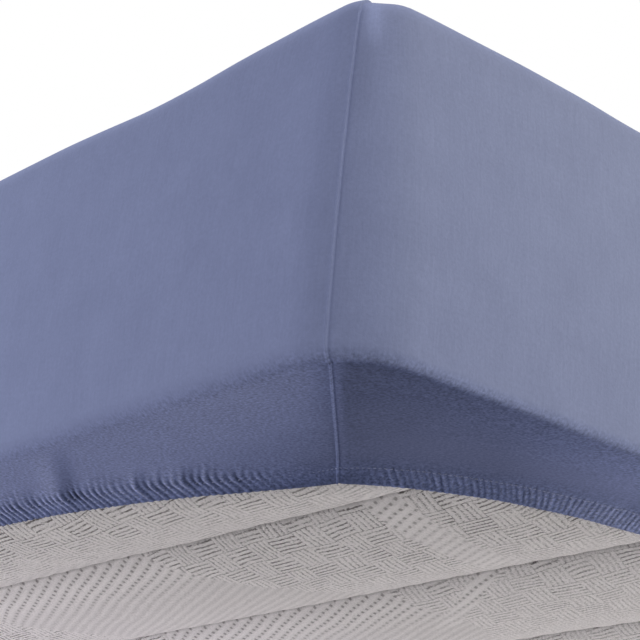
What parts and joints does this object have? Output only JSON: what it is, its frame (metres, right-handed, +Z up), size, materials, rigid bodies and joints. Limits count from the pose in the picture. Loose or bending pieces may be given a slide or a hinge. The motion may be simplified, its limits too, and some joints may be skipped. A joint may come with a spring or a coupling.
{
  "type": "fitted sheet on a mattress",
  "caption": "Jersey fitted sheet with a gathered hem, stretched over a mattress with rounded edges and a channel-quilted underside.",
  "frame": {"origin": "middle of the base, on the surface that the mattress rests on", "axes": "+X along the mattress, +Y across it, +Z up through its top"},
  "size_m": [2, 0.9, 0.25],
  "materials": {
    "jersey": "soft matt knit, grey-blue",
    "ticking": "matt quilted knit, off-white"
  },
  "bodies": {
    "root": {"fitted_sheet": "jersey", "mattress": "ticking"}
  },
  "joints": []
}
